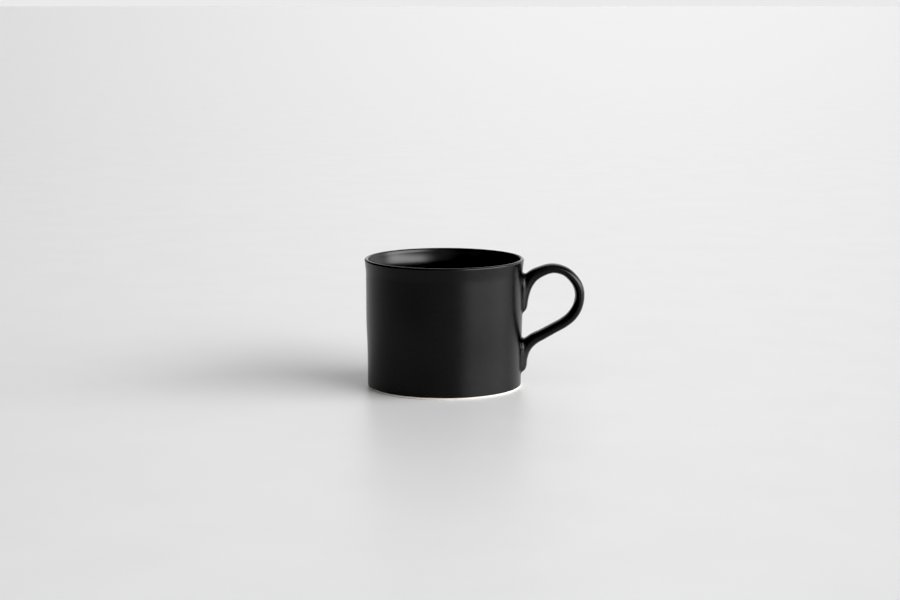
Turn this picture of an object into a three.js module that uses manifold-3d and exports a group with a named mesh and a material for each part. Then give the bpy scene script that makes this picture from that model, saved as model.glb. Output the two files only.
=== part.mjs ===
// A ceramic mug. A clay cup with a foot ring and a strap handle stuck on with slip, all under a satin
// black glaze that stops just above the foot. Millimetres, +Z up. The origin is on the table under the
// middle of the mug's box, and the handle points along +X.
import * as THREE from 'three';
import { mergeVertices } from 'three/addons/utils/BufferGeometryUtils.js';
import Module from 'manifold-3d';

const wasm = await Module();
wasm.setup();

// Cup, measured over the glaze
const HEIGHT = 69.8;          // table to the top of the lip
const LIP_RADIUS = 43;        // widest part of the lip
const LIP_THICKNESS = 2.0;
const WALL_RADIUS = 42.3;     // upper wall, below the flare
const LOWER_RADIUS = 41.65;   // lower wall, down to the glaze line
const FLARE_BOTTOM = 62;      // height where the wall starts to flare out to the lip
const FLARE_POWER = 1.3;      // how late the flare opens
const TAPER_TOP = 42;         // heights between which the wall narrows to its lower radius
const TAPER_BOTTOM = 14;
const WALL_THICKNESS = 3.6;   // from WALL_FULL down
const WALL_FULL = 61;         // height below which the wall has its full thickness
const THINNING_POWER = 2;     // how late the wall thins towards the lip
const FLOOR_TOP = 6;
const CORNER = 9;             // radius between the wall and the floor, inside

// Glaze
const GLAZE = 0.35;           // thickness of the coat
const GLAZE_LINE = 1.1;       // height of its lower edge, above which the clay is covered

// Foot ring and the recess inside it
const FOOT_BEVEL = 0.6;
const FOOT_OUTER = LOWER_RADIUS - GLAZE;
const FOOT_INNER = 36.4;
const RECESS = 1.6;           // depth to the glazed underside
const RECESS_CLEARANCE = 0.3; // bare clay between the recess wall and its glaze

// Handle strap, over the glaze. Each row is a station along the strap, from the end of its upper tail,
// round the loop, to the end of its lower tail: distance from the cup's axis, height, thickness.
const STRAP = [
  [42.3, 41.3, 3.2], [42.5, 43.2, 4.8], [42.9, 47.9, 5.5], [44.3, 54.3, 6.5],
  [47.2, 59.0, 6.7], [51.9, 61.95, 5.9], [58.8, 63.85, 5.2], [65.4, 62.15, 5.0], [70.15, 58.0, 5.1],
  [72.7, 53.65, 5.2], [73.5, 48.7, 5.1], [72.35, 42.7, 5.2], [69.25, 37.65, 5.4],
  [65.1, 34.2, 5.4], [59.2, 30.9, 5.4], [53.1, 27.55, 5.6], [48.3, 25.0, 6.1],
  [44.2, 20.9, 6.5], [42.5, 15.3, 5.7], [42.2, 10.9, 5.2], [41.8, 8.5, 4.0],
];
const STRAP_WIDTH = 10.4;     // across the strap, on the loop
const STRAP_ROOT_WIDTH = 13;  // and where it meets the wall
const HANDLE_REACH = 76.0;    // axis of the cup to the outside of the loop
const ROOT_LENGTH = 0.2;      // share of the strap over which it narrows from root to loop
const SECTION_POWER = 2.3;    // 2 is an ellipse, more is squarer

// Slip joints between the strap's ends and the wall
const SLIP = 0.9;             // thickness of each slip pad
const GAP = 0.3;              // between pieces that were cut to fit each other
const JOINT_SPLIT = 33;       // height between the two joints

// Facets
const TURN_STEPS = 48;
const LIP_STEPS = 6;
const CORNER_STEPS = 4;
const STRAP_STEPS = 42;
const SECTION_STEPS = 16;
const WALL_HEIGHTS = [GLAZE_LINE, TAPER_BOTTOM, 20, 28, 36, TAPER_TOP, FLARE_BOTTOM, 64.5, 66.7];
const INSIDE_HEIGHTS = [67, 65.4, 63.4, WALL_FULL, TAPER_TOP, 28];

const CUP_AXIS_X = (LIP_RADIUS - HANDLE_REACH) / 2;
const LIP_CENTRE = HEIGHT - LIP_THICKNESS / 2;

// Materials
const blackGlaze = () => new THREE.MeshStandardMaterial({ color: 0x17181a, roughness: 0.42, metalness: 0 });
const bareClay = () => new THREE.MeshStandardMaterial({ color: 0xd9d4ca, roughness: 0.9, metalness: 0 });

// 0 below from, 1 above to, and smooth between
function ease(value, from, to) {
  return THREE.MathUtils.smoothstep(value, from, to);
}

function outsideRadius(height) {
  const wall = THREE.MathUtils.lerp(LOWER_RADIUS, WALL_RADIUS, ease(height, TAPER_BOTTOM, TAPER_TOP));
  const rise = Math.max(0, (height - FLARE_BOTTOM) / (LIP_CENTRE - FLARE_BOTTOM));
  return wall + (LIP_RADIUS - WALL_RADIUS) * rise ** FLARE_POWER;
}

function insideRadius(height) {
  const rise = Math.max(0, (height - WALL_FULL) / (LIP_CENTRE - WALL_FULL));
  return outsideRadius(height) - THREE.MathUtils.lerp(WALL_THICKNESS, LIP_THICKNESS, rise ** THINNING_POWER);
}

function arc(x, y, radius, from, to, steps) {
  const clockwise = to < from;
  return new THREE.EllipseCurve(x, y, radius, radius, from, to, clockwise).getPoints(steps);
}

// Outside of the wall from the glaze line up to the lip's widest point, sunk by depth below the glaze
function outsideFace(depth) {
  const heights = [...WALL_HEIGHTS, LIP_CENTRE];
  return heights.map((height) => new THREE.Vector2(outsideRadius(height) - depth, height));
}

// Over the lip, down the inside and across the floor to the axis, sunk by depth below the glaze
function insideFace(depth) {
  const lipX = LIP_RADIUS - LIP_THICKNESS / 2;
  const lip = arc(lipX, LIP_CENTRE, LIP_THICKNESS / 2 - depth, 0, Math.PI, LIP_STEPS);
  const wall = INSIDE_HEIGHTS.map((height) => new THREE.Vector2(insideRadius(height) + depth, height));
  const cornerHeight = FLOOR_TOP + CORNER;
  const cornerX = insideRadius(cornerHeight) - CORNER;
  const corner = arc(cornerX, cornerHeight, CORNER + depth, 0, -Math.PI / 2, CORNER_STEPS);
  return [...lip, ...wall, ...corner, new THREE.Vector2(0, FLOOR_TOP - depth)];
}

// Underside of the clay, from the axis out across the recess and the foot ring
function footFace() {
  return [
    new THREE.Vector2(0, RECESS + GLAZE),
    new THREE.Vector2(FOOT_INNER, RECESS + GLAZE),
    new THREE.Vector2(FOOT_INNER, FOOT_BEVEL),
    new THREE.Vector2(FOOT_INNER + FOOT_BEVEL, 0),
    new THREE.Vector2(FOOT_OUTER - FOOT_BEVEL, 0),
    new THREE.Vector2(FOOT_OUTER, FOOT_BEVEL),
  ];
}

// Turns a profile, drawn anticlockwise with x outward and y up, about the Z axis
function turn(profile) {
  return new THREE.LatheGeometry(profile, TURN_STEPS).rotateX(Math.PI / 2);
}

function closed(profile) {
  return [...profile, profile[0].clone()];
}

// The strap's centre line, with its thickness carried as the curve's third coordinate
const strapCurve = new THREE.CatmullRomCurve3(
  STRAP.map(([x, height, thickness]) => new THREE.Vector3(x, height, thickness)),
  false,
  'centripetal',
);

function strapWidth(share) {
  const fromRoot = Math.min(share, 1 - share);
  return THREE.MathUtils.lerp(STRAP_ROOT_WIDTH, STRAP_WIDTH, ease(fromRoot, 0, ROOT_LENGTH));
}

// One closed ring of the strap's rounded oval section, grown by growth all round and moved along the
// strap by slide
function strapRing(share, growth, slide) {
  const centre = strapCurve.getPointAt(share);
  const along = strapCurve.getTangentAt(share).setZ(0).normalize();
  const middle = new THREE.Vector2(centre.x + along.x * slide, centre.y + along.y * slide);
  const across = new THREE.Vector2(-along.y, along.x);
  const halfThickness = centre.z / 2 + growth;
  const halfWidth = strapWidth(share) / 2 + growth;
  const squared = (value) => Math.sign(value) * Math.abs(value) ** (2 / SECTION_POWER);
  const ring = [];
  for (let step = 0; step < SECTION_STEPS; step += 1) {
    const angle = (2 * Math.PI * step) / SECTION_STEPS;
    const point = middle.clone().addScaledVector(across, halfThickness * squared(Math.cos(angle)));
    ring.push(new THREE.Vector3(point.x, halfWidth * squared(Math.sin(angle)), point.y));
  }
  return ring;
}

// Closed surface through the rings, with a flat cap on each end
function loft(rings) {
  const count = rings[0].length;
  const positions = rings.flat().flatMap((point) => point.toArray());
  const triangles = [];
  for (let row = 0; row < rings.length - 1; row += 1) {
    for (let step = 0; step < count; step += 1) {
      const near = row * count + step;
      const nearNext = row * count + ((step + 1) % count);
      triangles.push(near, near + count, nearNext, nearNext, near + count, nearNext + count);
    }
  }
  const last = (rings.length - 1) * count;
  for (let step = 1; step < count - 1; step += 1) {
    triangles.push(0, step, step + 1, last, last + step + 1, last + step);
  }
  const geometry = new THREE.BufferGeometry();
  geometry.setAttribute('position', new THREE.Float32BufferAttribute(positions, 3));
  geometry.setIndex(triangles);
  return geometry;
}

// The whole strap as one solid, grown by growth, with its ends still running into the wall
function strapSolid(growth) {
  const rings = [];
  for (let step = 0; step <= STRAP_STEPS; step += 1) {
    const end = Number(step === STRAP_STEPS) - Number(step === 0);
    rings.push(strapRing(step / STRAP_STEPS, growth, end * growth));
  }
  return toSolid(loft(rings));
}

// A ring that follows the wall, between two distances outside its glazed face and between two heights
function wallBand(near, far, bottom, top) {
  const between = WALL_HEIGHTS.filter((height) => height > bottom && height < top);
  const heights = [bottom, ...between, top];
  const point = (height, distance) => new THREE.Vector2(outsideRadius(height) + distance, height);
  const side = (distance) => heights.map((height) => point(height, distance));
  return toSolid(turn(closed([...side(far), ...side(near).reverse()])));
}

function toSolid(geometry) {
  const bare = geometry.clone();
  bare.deleteAttribute('normal');
  bare.deleteAttribute('uv');
  const merged = mergeVertices(bare);
  return new wasm.Manifold(new wasm.Mesh({
    numProp: 3,
    vertProperties: new Float32Array(merged.attributes.position.array),
    triVerts: new Uint32Array(merged.index.array),
  }));
}

function toGeometry(solid) {
  const { vertProperties, triVerts } = solid.getMesh();
  const geometry = new THREE.BufferGeometry();
  geometry.setAttribute('position', new THREE.BufferAttribute(vertProperties, 3));
  geometry.setIndex(new THREE.BufferAttribute(triVerts, 1));
  geometry.computeVertexNormals();
  return geometry;
}

function cupBody() {
  return turn([...footFace(), ...outsideFace(GLAZE).slice(0, -1), ...insideFace(GLAZE)]);
}

function innerGlaze() {
  return turn([...insideFace(GLAZE).reverse(), ...insideFace(0)]);
}

function outerGlaze() {
  const coat = toSolid(turn(closed([...outsideFace(0), ...outsideFace(GLAZE).reverse()])));
  return toGeometry(coat.subtract(strapSolid(GAP)));
}

function baseGlaze() {
  const radius = FOOT_INNER - RECESS_CLEARANCE;
  const outline = [[0, RECESS], [radius, RECESS], [radius, RECESS + GLAZE], [0, RECESS + GLAZE]];
  return turn(outline.map(([x, y]) => new THREE.Vector2(x, y)));
}

// Slip pad between the wall and one end of the strap, between two heights
function jointPad(bottom, top) {
  const near = GAP - GLAZE;
  return toGeometry(strapSolid(-GLAZE).intersect(wallBand(near, near + SLIP, bottom, top)));
}

function handleStrap() {
  const cupAndPads = wallBand(-WALL_THICKNESS * 2, SLIP + 2 * GAP - GLAZE, 0, HEIGHT);
  return toGeometry(strapSolid(-GLAZE).subtract(cupAndPads));
}

function handleGlaze() {
  const cup = wallBand(-WALL_THICKNESS * 2, GAP - GLAZE, 0, HEIGHT);
  return toGeometry(strapSolid(0).subtract(strapSolid(-GLAZE)).subtract(cup));
}

function named(name, geometry, material) {
  const mesh = new THREE.Mesh(geometry, material);
  mesh.name = name;
  return mesh;
}

const mug = new THREE.Group();
mug.position.x = CUP_AXIS_X;
mug.add(
  named('cup_body', cupBody(), bareClay()),
  named('handle_strap', handleStrap(), bareClay()),
  named('upper_joint', jointPad(JOINT_SPLIT, HEIGHT), bareClay()),
  named('lower_joint', jointPad(0, JOINT_SPLIT), bareClay()),
  named('outer_glaze', outerGlaze(), blackGlaze()),
  named('inner_glaze', innerGlaze(), blackGlaze()),
  named('handle_glaze', handleGlaze(), blackGlaze()),
  named('base_glaze', baseGlaze(), blackGlaze()),
);

export default mug;
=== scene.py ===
import math

import bpy
import numpy as np
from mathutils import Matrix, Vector
from mathutils.bvhtree import BVHTree


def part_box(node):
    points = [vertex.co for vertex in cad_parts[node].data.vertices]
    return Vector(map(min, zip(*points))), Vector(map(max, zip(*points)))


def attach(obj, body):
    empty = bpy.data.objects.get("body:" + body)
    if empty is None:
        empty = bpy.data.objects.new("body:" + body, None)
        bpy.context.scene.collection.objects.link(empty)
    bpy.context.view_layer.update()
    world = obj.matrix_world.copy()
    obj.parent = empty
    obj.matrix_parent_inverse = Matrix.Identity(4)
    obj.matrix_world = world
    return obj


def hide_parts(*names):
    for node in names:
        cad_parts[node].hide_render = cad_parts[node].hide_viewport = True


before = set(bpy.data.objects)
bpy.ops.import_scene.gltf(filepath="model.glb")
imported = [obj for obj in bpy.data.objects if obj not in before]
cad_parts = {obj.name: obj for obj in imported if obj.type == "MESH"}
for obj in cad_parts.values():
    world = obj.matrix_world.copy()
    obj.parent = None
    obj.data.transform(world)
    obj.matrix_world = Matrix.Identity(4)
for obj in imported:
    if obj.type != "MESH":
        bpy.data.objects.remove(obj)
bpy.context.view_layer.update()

MM = 0.001

# The cup's place and main sizes, from the frame
liner_low, liner_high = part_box("inner_glaze")
AXIS = Vector(((liner_low.x + liner_high.x) / 2, (liner_low.y + liner_high.y) / 2, 0))
LIP_RADIUS = (liner_high.x - liner_low.x) / 2 / MM
HEIGHT = liner_high.z / MM
FLOOR_TOP = 6.0           # the cup's own floor, inside

# Cup, over the glaze, as in the CAD source
LIP_THICKNESS = 2.0
WALL_RADIUS = 42.3
LOWER_RADIUS = 41.65
FLARE_BOTTOM = 62.0       # height where the wall starts to flare out to the lip
FLARE_POWER = 1.3
TAPER_TOP = 42.0          # heights between which the wall narrows to its lower radius
TAPER_BOTTOM = 14.0
WALL_THICKNESS = 3.6
WALL_FULL = 61.0          # height up to which the wall has its full thickness
THINNING_POWER = 2.0
CORNER = 9.0              # radius where the inside wall meets the floor
LIP_CENTRE = HEIGHT - LIP_THICKNESS / 2

# Glaze, foot ring and recess
GLAZE = 0.35
GLAZE_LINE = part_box("outer_glaze")[0].z / MM
EDGE_WAVE = 0.06          # how far the glaze's lower edge wanders up and down
FOOT_BEVEL = 0.6
FOOT_OUTER = LOWER_RADIUS - GLAZE
FOOT_INNER = 36.4
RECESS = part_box("base_glaze")[0].z / MM
RECESS_CLEARANCE = 0.3    # between the base's coat and the foot ring

# Handle strap stations: distance from the axis, height, thickness, as in the CAD source
STRAP = [
    (42.3, 41.3, 3.2), (42.5, 43.2, 4.8), (42.9, 47.9, 5.5), (44.3, 54.3, 6.5),
    (47.2, 59.0, 6.7), (51.9, 61.95, 5.9), (58.8, 63.85, 5.2), (65.4, 62.15, 5.0), (70.15, 58.0, 5.1),
    (72.7, 53.65, 5.2), (73.5, 48.7, 5.1), (72.35, 42.7, 5.2), (69.25, 37.65, 5.4),
    (65.1, 34.2, 5.4), (59.2, 30.9, 5.4), (53.1, 27.55, 5.6), (48.3, 25.0, 6.1),
    (44.2, 20.9, 6.5), (42.5, 15.3, 5.7), (42.2, 10.9, 5.2), (41.8, 8.5, 4.0),
]
STRAP_WIDTH = 10.4
STRAP_ROOT_WIDTH = 13.0
ROOT_LENGTH = 0.2         # share of the strap's length over which it narrows from root to loop
SECTION_POWER = 2.3       # 2 is an ellipse, more is squarer
STRAP_END_ROUND = 1.2     # radius of the rounding at the tip of each tail

# Fillet between the handle and the wall
FILLET = 2.8              # how far from the corner the fillet starts, on each surface
SHARP_GAIN = 0.5          # how much further it starts in a sharp corner
HIDDEN = 1.2              # how far each skin runs on under the other past the fillet's middle
HIDDEN_FADE = 0.8         # and the stretch over which it then lets go of the fillet
SINK = 0.06               # how fast it drops below the other there, per mm squared
SETTLE_ROUNDS = 6         # steps that bring a point onto the fillet
BURIED_PUSH = 8.0         # how far the strap's buried side is moved out of the way
BURIED_FADE = 0.8         # depth in the wall over which that push grows

# Mesh density
HANDLE_SECTOR = math.radians(20)
SECTOR_STEPS = 110
REST_STEPS = 168
WALL_STEP = 0.5           # height of the glazed wall's rows
HIDDEN_STEP = 6.0         # the same where the wall is out of sight
CLAY_STEP = 4.0
FINE = 24                 # steps round the lip and the inner corner
COARSE = 8                # the same where they are out of sight
STRAP_RINGS = 260
STRAP_SIDES = 88
TIP_RINGS = 8
CURVE_STEPS = 32          # samples between two stations of the strap
LOOK_AHEAD = 0.3          # half the chord that gives the strap's direction

# Camera and light, from the cup's axis, in metres and degrees
CAMERA_BACK = 1.027
CAMERA_HEIGHT = 0.2074
CAMERA_PITCH = 8.891
CAMERA_YAW = 0.172
CAMERA_TURN = 2.0         # how far it stands round towards the back of the handle's side view
LENS = 76.8
SENSOR = 36.0
CLIP_END = 200.0
FLOOR_REACH = 60.0

# The studio's light is made of soft bright patches: azimuth, elevation, focus, strength.
# A wide window stands at the front right, in two rows of equal patches.
WINDOW_AZIMUTHS = range(36, 93, 14)
WINDOW_FOCUS = 60
WINDOW_ROWS = ((10, 4.3), (24, 7.4))   # elevation and strength
WINDOW = [(a, e, WINDOW_FOCUS, strength) for e, strength in WINDOW_ROWS for a in WINDOW_AZIMUTHS]
BACK_LIGHT = [(120, 4, 14, 1.7), (172, 4, 14, 1.2), (172, 34, 14, 1.0)]
TOP_LIGHT = [(0, 75, 8, 0.6)]
FRONT_FILL = [(0, 4, 14, 0.3), (0, 34, 14, 0.5), (-60, 34, 14, 0.4)]
PATCHES = WINDOW + BACK_LIGHT + TOP_LIGHT + FRONT_FILL
BACKDROP = 0.83           # brightness past the floor's far edge, as the camera sees it
BLACK_POINT = 0.008       # the brightness that the picture shows as black

# Colours, each from darkest to lightest
GLAZE_BLACK = ((0.001, 0.001, 0.001), (0.002, 0.002, 0.002))
CLAY_WHITE = ((0.66, 0.62, 0.56), (0.74, 0.71, 0.66))
TABLE_WHITE = ((0.775, 0.775, 0.775), (0.795, 0.795, 0.795))


def ease(value, start, end):
    """0 before start, 1 after end, and smooth between them."""
    t = np.clip((value - start) / (end - start), 0, 1)
    return t * t * (3 - 2 * t)


def outside_radius(height):
    wall = LOWER_RADIUS + (WALL_RADIUS - LOWER_RADIUS) * ease(height, TAPER_BOTTOM, TAPER_TOP)
    rise = np.clip((height - FLARE_BOTTOM) / (LIP_CENTRE - FLARE_BOTTOM), 0, None)
    return wall + (LIP_RADIUS - WALL_RADIUS) * rise**FLARE_POWER


def inside_radius(height):
    thinning = np.clip((height - WALL_FULL) / (LIP_CENTRE - WALL_FULL), 0, None) ** THINNING_POWER
    return outside_radius(height) - (WALL_THICKNESS + (LIP_THICKNESS - WALL_THICKNESS) * thinning)


def arc(x, y, radius, start, end, steps):
    """Points (x, y) on an arc, angles in degrees."""
    angles = np.radians(np.linspace(start, end, steps + 1))
    return [(x + radius * math.cos(a), y + radius * math.sin(a)) for a in angles]


def outside_face(depth, start, step):
    """The wall's outside from a height up to just under the lip, sunk by depth below the glaze."""
    steps = max(2, round((LIP_CENTRE - start) / step))
    heights = np.linspace(start, LIP_CENTRE, steps + 1)[:-1]
    return [(outside_radius(h) - depth, h) for h in heights]


def inside_face(depth, detail):
    """Over the lip, down the inside and across the floor to the axis, with detail steps in the lip."""
    lip = arc(LIP_RADIUS - LIP_THICKNESS / 2, LIP_CENTRE, LIP_THICKNESS / 2 - depth, 0, 180, detail)
    corner_height = FLOOR_TOP + CORNER
    heights = np.linspace(LIP_CENTRE, corner_height, 2 * detail + 1)[1:-1]
    wall = [(inside_radius(h) + depth, h) for h in heights]
    corner_x = inside_radius(corner_height) - CORNER
    corner = arc(corner_x, corner_height, CORNER + depth, 0, -90, detail)
    across = [(corner_x * (1 - t), FLOOR_TOP - depth) for t in np.linspace(0, 1, 8)[1:]]
    return lip + wall + corner + across


def foot_face():
    """The clay's underside from the axis, over the recess and round the foot ring, up to the glaze line."""
    top = RECESS + GLAZE
    soft = FOOT_BEVEL
    recess_corner = arc(FOOT_INNER - soft, top - soft, soft, 90, 0, 5)
    inner_edge = arc(FOOT_INNER + soft, soft, soft, 180, 270, 6)
    outer_edge = arc(FOOT_OUTER - soft, soft, soft, -90, 0, 8)
    return [(0, top), (FOOT_INNER / 2, top)] + recess_corner + inner_edge + outer_edge


def turn_angles():
    """Angles round the cup, closest together in the sector that holds the handle."""
    near = np.linspace(-HANDLE_SECTOR, HANDLE_SECTOR, SECTOR_STEPS + 1)
    far = np.linspace(HANDLE_SECTOR, 2 * math.pi - HANDLE_SECTOR, REST_STEPS + 1)[1:-1]
    return np.concatenate([near, far])


def revolve(profile, angles):
    """Vertices and faces of a profile turned about the axis; points on the axis become one vertex."""
    rows, points = [], []
    for radius, height in profile:
        first = len(points)
        if radius < 1e-6:
            points.append((0.0, 0.0, height))
            rows.append([first] * len(angles))
        else:
            points += [(radius * math.cos(a), radius * math.sin(a), height) for a in angles]
            rows.append(list(range(first, first + len(angles))))
    return np.array(points), rows


def row_faces(rows, closed):
    """Quads between neighbouring rows of a grid that wraps round, and triangles at a pole."""
    faces = []
    pairs = list(zip(rows, rows[1:])) + ([(rows[-1], rows[0])] if closed else [])
    for low, high in pairs:
        for i in range(len(low)):
            j = (i + 1) % len(low)
            corners = [low[i], low[j], high[j], high[i]]
            unique = list(dict.fromkeys(corners))
            if len(unique) > 2:
                faces.append(unique)
    return faces


def make_piece(name, points, faces, material, slot, *nodes):
    """A mesh of points in mm from the cup's axis, placed in the row frame, that stands for CAD nodes."""
    mesh = bpy.data.meshes.new(name)
    mesh.from_pydata((np.asarray(points) * MM + np.array(AXIS)).tolist(), [], faces)
    mesh.validate()
    mesh.shade_smooth()
    mesh.materials.append(material)
    piece = bpy.data.objects.new(name, mesh)
    bpy.context.scene.collection.objects.link(piece)
    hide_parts(*nodes)
    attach(piece, "root")
    return piece


# ---- The handle's strap ----

def strap_curve():
    """Close stations on a centripetal Catmull-Rom curve through STRAP, and their distances along it."""
    knots = np.array(STRAP)
    knots = np.vstack([2 * knots[0] - knots[1], knots, 2 * knots[-1] - knots[-2]])
    stations = []
    for a, b, c, d in zip(knots, knots[1:], knots[2:], knots[3:]):
        t1 = np.linalg.norm(b - a) ** 0.5
        t2 = t1 + np.linalg.norm(c - b) ** 0.5
        t3 = t2 + np.linalg.norm(d - c) ** 0.5
        for t in np.linspace(t1, t2, CURVE_STEPS + 1)[:-1]:
            ab = a + (b - a) * t / t1
            bc = b + (c - b) * (t - t1) / (t2 - t1)
            cd = c + (d - c) * (t - t2) / (t3 - t2)
            abc = ab + (bc - ab) * t / t2
            bcd = bc + (cd - bc) * (t - t1) / (t3 - t1)
            stations.append(abc + (bcd - abc) * (t - t1) / (t2 - t1))
    stations.append(knots[-2])
    stations = np.array(stations)
    steps = np.linalg.norm(np.diff(stations[:, :2], axis=0), axis=1)
    lengths = np.concatenate([[0], np.cumsum(steps)])
    return stations, lengths


def superellipse(wave):
    """A sine or cosine, changed so that the pair of them draws the strap's rounded oval."""
    return np.sign(wave) * np.abs(wave) ** (2 / SECTION_POWER)


def strap_rings():
    """Rings of points round the strap's rounded oval section, from the upper tail to the lower."""
    stations, lengths = strap_curve()
    total = lengths[-1]
    tip = STRAP_END_ROUND * (1 - np.cos(np.linspace(0, math.pi / 2, TIP_RINGS + 1)[:-1]))
    between = np.linspace(STRAP_END_ROUND, total - STRAP_END_ROUND, STRAP_RINGS)
    places = np.concatenate([tip, between, (total - tip)[::-1]])
    centre = np.stack([np.interp(places, lengths, stations[:, i]) for i in range(3)], axis=1)
    ahead = np.stack([np.interp(places + LOOK_AHEAD, lengths, stations[:, i]) for i in range(2)], axis=1)
    behind = np.stack([np.interp(places - LOOK_AHEAD, lengths, stations[:, i]) for i in range(2)], axis=1)
    along = (ahead - behind) / np.linalg.norm(ahead - behind, axis=1, keepdims=True)
    across = np.stack([-along[:, 1], along[:, 0]], axis=1)
    from_end = np.minimum(places, total - places)
    short = np.clip(STRAP_END_ROUND - from_end, 0, None)
    inset = STRAP_END_ROUND - np.sqrt(np.clip(STRAP_END_ROUND**2 - short**2, 0, None))
    width = STRAP_ROOT_WIDTH + (STRAP_WIDTH - STRAP_ROOT_WIDTH) * ease(from_end / total, 0, ROOT_LENGTH)
    half_thickness = centre[:, 2] / 2 - inset
    half_width = width / 2 - inset
    angles = np.linspace(0, 2 * math.pi, STRAP_SIDES, endpoint=False)
    out, side = superellipse(np.cos(angles)), superellipse(np.sin(angles))
    rings = np.zeros((len(places), STRAP_SIDES, 3))
    rings[:, :, 0] = centre[:, 0:1] + across[:, 0:1] * half_thickness[:, None] * out
    rings[:, :, 1] = -half_width[:, None] * side
    rings[:, :, 2] = centre[:, 1:2] + across[:, 1:2] * half_thickness[:, None] * out
    return rings


def strap_mesh():
    """A closed skin round the strap: its rings, and a point that closes each end."""
    rings = strap_rings()
    count = rings.shape[0]
    points = rings.reshape(-1, 3)
    rows = [list(range(i * STRAP_SIDES, (i + 1) * STRAP_SIDES)) for i in range(count)]
    first_tip, last_tip = len(points), len(points) + 1
    points = np.vstack([points, rings[0].mean(axis=0), rings[-1].mean(axis=0)])
    rows = [[first_tip] * STRAP_SIDES] + rows + [[last_tip] * STRAP_SIDES]
    return points, row_faces(rows, closed=False)


# ---- The fillet between the handle and the wall ----

def wall_distance(points):
    """How far each point is outside the glazed wall, and the wall's outward direction there."""
    radius = np.maximum(np.hypot(points[:, 0], points[:, 1]), 1e-9)
    outward = np.stack([points[:, 0] / radius, points[:, 1] / radius, np.zeros(len(points))], axis=1)
    return radius - outside_radius(points[:, 2]), outward


def strap_distance(tree, points):
    """The same for the strap's skin, from a tree of its faces."""
    distances, directions = np.zeros(len(points)), np.zeros((len(points), 3))
    for i, point in enumerate(points):
        nearest, normal, _, distance = tree.find_nearest(Vector(point))
        offset = Vector(point) - nearest
        sign = 1 if offset.dot(normal) >= 0 else -1
        distances[i] = sign * distance
        directions[i] = sign * offset.normalized() if distance > 1e-4 else normal
    return distances, directions


def deep_strap(points, faces):
    """A tree of the strap's faces with its buried side pushed far into the wall, so that distances from it
    are to the strap's visible sides and not to its back."""
    wall, _ = wall_distance(points)
    pushed = points.copy()
    pushed[:, 0] -= BURIED_PUSH * ease(-wall, 0, BURIED_FADE)
    return BVHTree.FromPolygons(pushed.tolist(), faces)


def onto_fillet(points, tree, buried):
    """Moves points onto the smooth union of the wall and the strap. buried is how far each point starts out
    below the other surface. Such a point comes out on the other side of the fillet's middle, a little below
    it, so that the two skins overlap there. Deeper points stay where they were."""
    depth = np.clip(buried, 0, None)[:, None]
    _, wall_out = wall_distance(points)
    _, strap_out = strap_distance(tree, points)
    moved = points + depth * (wall_out + strap_out)
    for _ in range(SETTLE_ROUNDS):
        wall, wall_out = wall_distance(moved)
        strap, strap_out = strap_distance(tree, moved)
        reach = FILLET * (1 + SHARP_GAIN * np.clip(-(wall_out * strap_out).sum(axis=1), 0, None))
        overlap = np.clip(reach - np.abs(wall - strap), 0, None) / reach
        value = np.minimum(wall, strap) - overlap**2 * reach / 4
        strap_share = np.where(wall < strap, overlap / 2, 1 - overlap / 2)[:, None]
        slope = (1 - strap_share) * wall_out + strap_share * strap_out
        moved -= (value / (slope**2).sum(axis=1))[:, None] * slope
    moved -= SINK * depth**2 * slope
    keep = ease(depth, HIDDEN, HIDDEN + HIDDEN_FADE)
    return moved * (1 - keep) + points * keep


def fillet_strap(points, tree):
    wall, _ = wall_distance(points)
    near = (wall < FILLET) & (wall > -HIDDEN - HIDDEN_FADE)
    result = points.copy()
    result[near] = onto_fillet(points[near], tree, -wall[near])
    return result


def fillet_wall(points, tree):
    """Only the outside of the wall, near the handle."""
    wall, _ = wall_distance(points)
    around = np.abs(np.arctan2(points[:, 1], points[:, 0])) < HANDLE_SECTOR
    upright = (points[:, 2] > GLAZE_LINE + 1) & (points[:, 2] < LIP_CENTRE)
    outside = (np.abs(wall) < 1e-6) & around & upright
    index = np.nonzero(outside)[0]
    strap, _ = strap_distance(tree, points[index])
    near = (strap < FILLET) & (strap > -HIDDEN - HIDDEN_FADE)
    result = points.copy()
    chosen = index[near]
    result[chosen] = onto_fillet(points[chosen], tree, -strap[near])
    return result


# ---- Materials ----

def new_material(name):
    material = bpy.data.materials.new(name)
    material.use_nodes = True
    nodes = material.node_tree.nodes
    return material, nodes, material.node_tree.links, nodes["Principled BSDF"]


def add_noise(nodes, links, scale, detail, roughness=0.5):
    """Noise in the object's own space, with scale in features per millimetre."""
    place = nodes.new("ShaderNodeTexCoord")
    noise = nodes.new("ShaderNodeTexNoise")
    noise.inputs["Scale"].default_value = scale / MM
    noise.inputs["Detail"].default_value = detail
    noise.inputs["Roughness"].default_value = roughness
    links.new(place.outputs["Object"], noise.inputs["Vector"])
    return noise.outputs["Fac"]


def add_range(nodes, links, source, low, high):
    """Stretches the middle of a noise to a range of values."""
    remap = nodes.new("ShaderNodeMapRange")
    remap.inputs["From Min"].default_value = 0.3
    remap.inputs["From Max"].default_value = 0.7
    remap.inputs["To Min"].default_value = low
    remap.inputs["To Max"].default_value = high
    links.new(source, remap.inputs["Value"])
    return remap.outputs["Result"]


def add_mix(nodes, links, factor, first, second):
    mix = nodes.new("ShaderNodeMix")
    mix.data_type = "RGBA"
    mix.inputs["A"].default_value = (*first, 1)
    mix.inputs["B"].default_value = (*second, 1)
    links.new(factor, mix.inputs["Factor"])
    return mix.outputs["Result"]


def add_bump(nodes, links, height, distance_mm, before=None):
    bump = nodes.new("ShaderNodeBump")
    bump.inputs["Strength"].default_value = 1
    bump.inputs["Distance"].default_value = distance_mm * MM
    links.new(height, bump.inputs["Height"])
    if before is not None:
        links.new(before, bump.inputs["Normal"])
    return bump.outputs["Normal"]


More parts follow.
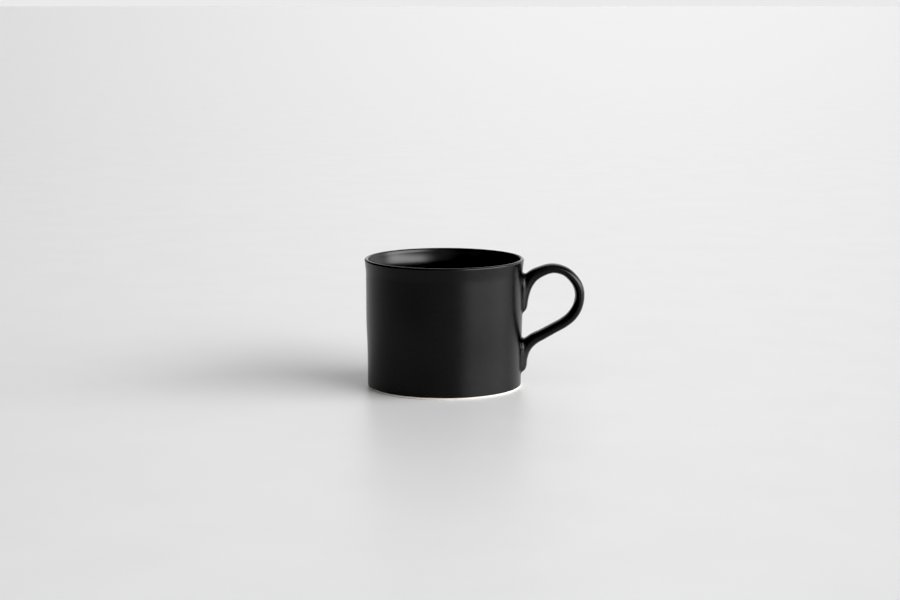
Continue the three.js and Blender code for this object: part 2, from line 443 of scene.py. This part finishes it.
def black_glaze():
    """A satin glaze: cloudy tone, a fine grain in its gloss, and a slight unevenness of its surface."""
    material, nodes, links, shader = new_material("black_glaze")
    cloud = add_range(nodes, links, add_noise(nodes, links, 0.05, 4), 0, 1)
    grain = add_noise(nodes, links, 3.0, 3)
    links.new(add_mix(nodes, links, cloud, *GLAZE_BLACK), shader.inputs["Base Color"])
    links.new(add_range(nodes, links, grain, 0.22, 0.29), shader.inputs["Roughness"])
    shader.inputs["Specular IOR Level"].default_value = 0.26
    peel = add_bump(nodes, links, add_noise(nodes, links, 0.12, 2), 0.05)
    links.new(add_bump(nodes, links, grain, 0.006, peel), shader.inputs["Normal"])
    return material


def bare_clay():
    """Pale unglazed clay with grit."""
    material, nodes, links, shader = new_material("bare_clay")
    cloud = add_range(nodes, links, add_noise(nodes, links, 0.25, 3), 0, 1)
    grit = add_noise(nodes, links, 2.5, 4, 0.7)
    links.new(add_mix(nodes, links, cloud, *CLAY_WHITE), shader.inputs["Base Color"])
    links.new(add_range(nodes, links, grit, 0.8, 0.95), shader.inputs["Roughness"])
    shader.inputs["Specular IOR Level"].default_value = 0.3
    links.new(add_bump(nodes, links, grit, 0.03), shader.inputs["Normal"])
    return material


def pale_table():
    material, nodes, links, shader = new_material("pale_table")
    fleck = add_range(nodes, links, add_noise(nodes, links, 0.02, 3), 0, 1)
    links.new(add_mix(nodes, links, fleck, *TABLE_WHITE), shader.inputs["Base Color"])
    shader.inputs["Roughness"].default_value = 0.4
    shader.inputs["Specular IOR Level"].default_value = 0.32
    return material


# ---- Stage ----

def make_floor(material):
    reach = FLOOR_REACH
    mesh = bpy.data.meshes.new("floor")
    corners = [(-reach, -reach, 0), (reach, -reach, 0), (reach, reach, 0), (-reach, reach, 0)]
    mesh.from_pydata(corners, [], [(0, 1, 2, 3)])
    mesh.materials.append(material)
    floor = bpy.data.objects.new("floor", mesh)
    bpy.context.scene.collection.objects.link(floor)


def make_camera():
    data = bpy.data.cameras.new("camera")
    data.lens = LENS
    data.sensor_width = SENSOR
    data.clip_end = CLIP_END
    camera = bpy.data.objects.new("camera", data)
    turn = math.radians(CAMERA_TURN)
    back = Vector((-math.sin(turn), -math.cos(turn), 0))
    camera.location = AXIS + CAMERA_BACK * back + Vector((0, 0, CAMERA_HEIGHT))
    camera.rotation_euler = (math.radians(90 - CAMERA_PITCH), 0, -math.radians(CAMERA_YAW + CAMERA_TURN))
    bpy.context.scene.collection.objects.link(camera)
    bpy.context.scene.camera = camera


def direction(azimuth, elevation):
    """Towards a place round the table. Azimuth 0 is in front of the mug, and 90 is on the handle's side."""
    a, e = math.radians(azimuth), math.radians(elevation)
    return math.sin(a) * math.cos(e), -math.cos(a) * math.cos(e), math.sin(e)


def add_math(nodes, links, operation, source, *values):
    """A Math node on a linked value. Each of values is a number or another linked value."""
    node = nodes.new("ShaderNodeMath")
    node.operation = operation
    links.new(source, node.inputs[0])
    for socket, value in zip(node.inputs[1:], values):
        if isinstance(value, (int, float)):
            socket.default_value = value
        else:
            links.new(value, socket)
    return node.outputs["Value"]


def make_world():
    """Soft bright patches all round. What the camera sees past the floor's far edge is as pale as it is."""
    world = bpy.data.worlds.new("studio")
    bpy.context.scene.world = world
    world.use_nodes = True
    nodes, links = world.node_tree.nodes, world.node_tree.links
    place = nodes.new("ShaderNodeTexCoord")
    total = 0.0
    for azimuth, elevation, focus, strength in PATCHES:
        facing = nodes.new("ShaderNodeVectorMath")
        facing.operation = "DOT_PRODUCT"
        facing.inputs[1].default_value = direction(azimuth, elevation)
        links.new(place.outputs["Generated"], facing.inputs[0])
        spread = add_math(nodes, links, "MULTIPLY_ADD", facing.outputs["Value"], focus, -focus)
        glow = add_math(nodes, links, "EXPONENT", spread)
        total = add_math(nodes, links, "MULTIPLY_ADD", glow, strength, total)
    path = nodes.new("ShaderNodeLightPath")
    seen = nodes.new("ShaderNodeMix")
    links.new(path.outputs["Is Camera Ray"], seen.inputs["Factor"])
    links.new(total, seen.inputs["A"])
    seen.inputs["B"].default_value = BACKDROP
    links.new(seen.outputs["Result"], nodes["Background"].inputs["Strength"])
    nodes["Background"].inputs["Color"].default_value = (1, 1, 1, 1)


def wander(points):
    """Lets the glaze's lower edge rise and fall a little round the cup, as a dipped edge does."""
    angle = np.arctan2(points[:, 1], points[:, 0])
    wave = np.sin(3 * angle + 0.7) + 0.6 * np.sin(7 * angle + 2.1) + 0.4 * np.sin(13 * angle + 4.0)
    result = points.copy()
    result[:, 2] += EDGE_WAVE / 2 * wave * (1 - ease(points[:, 2], GLAZE_LINE, GLAZE_LINE + 1.5))
    return result


def build_cup_glaze(tree, angles, glaze):
    """One closed skin: the coat's visible face, and its back against the clay."""
    edge = outside_radius(GLAZE_LINE) - GLAZE / 2
    coat = arc(edge, GLAZE_LINE + GLAZE / 2, GLAZE / 2, -180, 0, COARSE)
    coat += outside_face(0, GLAZE_LINE + GLAZE, WALL_STEP) + inside_face(0, FINE)
    lining = outside_face(GLAZE, GLAZE_LINE + GLAZE, HIDDEN_STEP) + inside_face(GLAZE, COARSE)
    points, rows = revolve(coat + lining[::-1], angles)
    points = wander(fillet_wall(points, tree))
    faces = row_faces(rows, closed=True)
    make_piece("cup_glaze", points, faces, glaze, "black_glaze", "outer_glaze", "inner_glaze")


def build_handle_coat(points, faces, tree, glaze):
    filleted = fillet_strap(points, tree)
    reach = (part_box("handle_glaze")[1].x - AXIS.x) / MM
    filleted[:, 0] = np.minimum(filleted[:, 0], reach)
    make_piece("handle_coat", filleted, faces, glaze, "black_glaze", "handle_glaze")


def build_cup_clay(angles, clay):
    profile = foot_face() + outside_face(GLAZE, GLAZE_LINE, CLAY_STEP) + inside_face(GLAZE, COARSE)
    points, rows = revolve(profile, angles)
    make_piece("cup_clay", points, row_faces(rows, closed=False), clay, "bare_clay", "cup_body")


def build_base_coat(angles, glaze):
    radius = FOOT_INNER - RECESS_CLEARANCE - FOOT_BEVEL
    edge = arc(radius - GLAZE / 2, RECESS + GLAZE / 2, GLAZE / 2, -90, 90, 6)
    lower = [(0, RECESS), (radius / 2, RECESS)]
    upper = [(radius / 2, RECESS + GLAZE), (0, RECESS + GLAZE)]
    points, rows = revolve(lower + edge + upper, angles)
    make_piece("base_coat", points, row_faces(rows, closed=False), glaze, "black_glaze", "base_glaze")


def build():
    glaze, clay = black_glaze(), bare_clay()
    strap_points, strap_faces = strap_mesh()
    tree = deep_strap(strap_points, strap_faces)
    angles = turn_angles()
    build_cup_glaze(tree, angles, glaze)
    build_handle_coat(strap_points, strap_faces, tree, glaze)
    build_cup_clay(angles, clay)
    build_base_coat(angles, glaze)
    for node in ("handle_strap", "upper_joint", "lower_joint"):
        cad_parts[node].data.materials.clear()
        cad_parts[node].data.materials.append(clay)


def set_picture_tones():
    view = bpy.context.scene.view_settings
    view.view_transform = "Standard"
    view.use_curve_mapping = True
    view.curve_mapping.black_level = (BLACK_POINT, BLACK_POINT, BLACK_POINT)
    view.curve_mapping.update()


build()
make_floor(pale_table())
make_world()
make_camera()
set_picture_tones()
